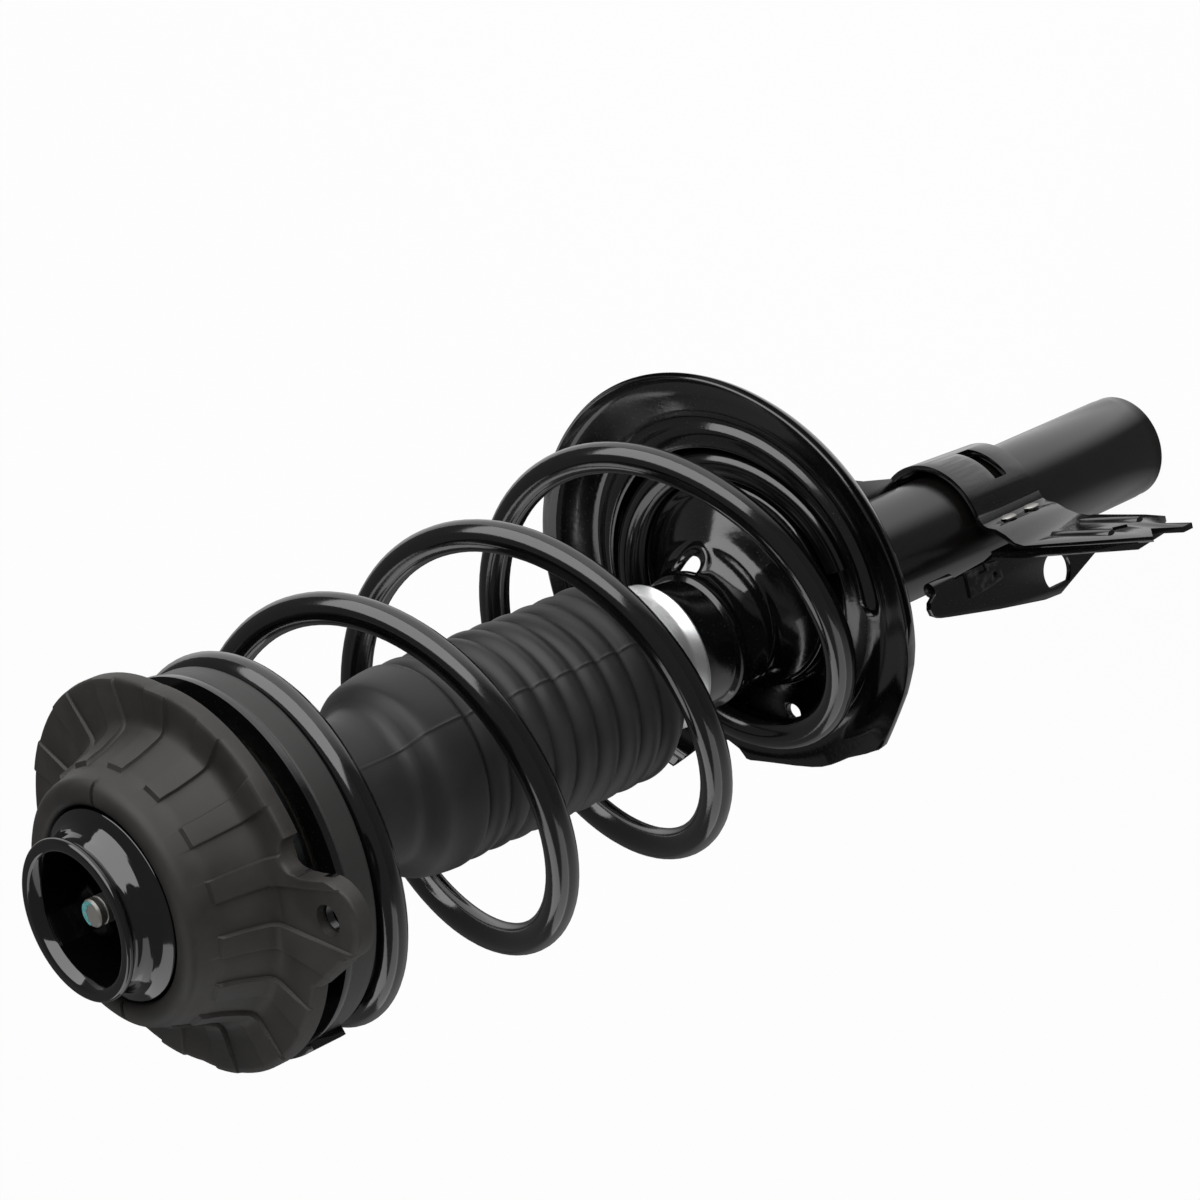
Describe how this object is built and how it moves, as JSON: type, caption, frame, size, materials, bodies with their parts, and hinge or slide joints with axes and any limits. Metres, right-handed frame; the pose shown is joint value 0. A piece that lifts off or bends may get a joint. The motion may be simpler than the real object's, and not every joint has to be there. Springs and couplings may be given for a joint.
{
  "type": "suspension strut",
  "caption": "Upright suspension strut: telescopic damper inside a coil spring with dust boot, spring seats, top mount with steel cup and ribbed rubber dome, and a bracket on the lower tube.",
  "frame": {"origin": "centre of the closed bottom end of the damper tube", "axes": "+Z along the damper tube towards the mount cup, +X towards the ear of the mount plate and the bracket arm"},
  "size_m": [0.2327, 0.2051, 0.63],
  "materials": {
    "black_enamel": "gloss",
    "spring_enamel": "gloss",
    "dark_plate": "satin",
    "steel": "ground",
    "sintered": "matte",
    "zinc": "bright zinc plate",
    "chromed_rod": "polished",
    "seal_rubber": "matte",
    "isolator_rubber": "satin",
    "boot_rubber": "matte",
    "mount_rubber": "matte",
    "bump_foam": "foam",
    "cage_plastic": "moulded",
    "band_plastic": "matte"
  },
  "bodies": {
    "strut": {"damper_tube": "black_enamel", "tube_base_cap": "black_enamel", "inner_cylinder": "steel", "base_valve": "sintered", "rod_guide": "sintered", "rod_seal": "seal_rubber", "striker_cap": "zinc", "lower_spring_seat": "black_enamel", "clamp_bracket": "black_enamel", "link_plate": "black_enamel", "bracket_clip": "black_enamel", "rear_tab": "black_enamel", "coil_spring": "spring_enamel"},
    "spring_top": {"upper_spring_seat": "black_enamel", "spring_isolator": "isolator_rubber", "bearing_lower_race": "steel", "bearing_cage": "cage_plastic", "bearing_balls": "steel", "dust_boot": "boot_rubber"},
    "top_mount": {"bearing_upper_race": "steel", "mount_plate": "dark_plate", "mount_rubber": "mount_rubber", "mount_skin": "mount_rubber", "mount_cup": "black_enamel", "rod_nut": "zinc", "nut_washer": "zinc", "piston_rod": "chromed_rod", "piston": "sintered", "piston_band": "band_plastic", "rebound_stop": "seal_rubber", "bump_stop": "bump_foam"}
  },
  "joints": [
    {"name": "rod_slide", "type": "slide", "parent": "strut", "child": "spring_top", "axis": [0, 0, 1], "range_m": [-0.14, 0], "stiffness_N_per_m": 22000, "springref_m": 0.05, "deforming": ["coil_spring", "dust_boot"]},
    {"name": "bearing_swivel", "type": "hinge", "parent": "spring_top", "child": "top_mount", "pos_m": [0, 0, 0.568], "axis": [0, 0, 1], "range_deg": [-45, 45]}
  ]
}
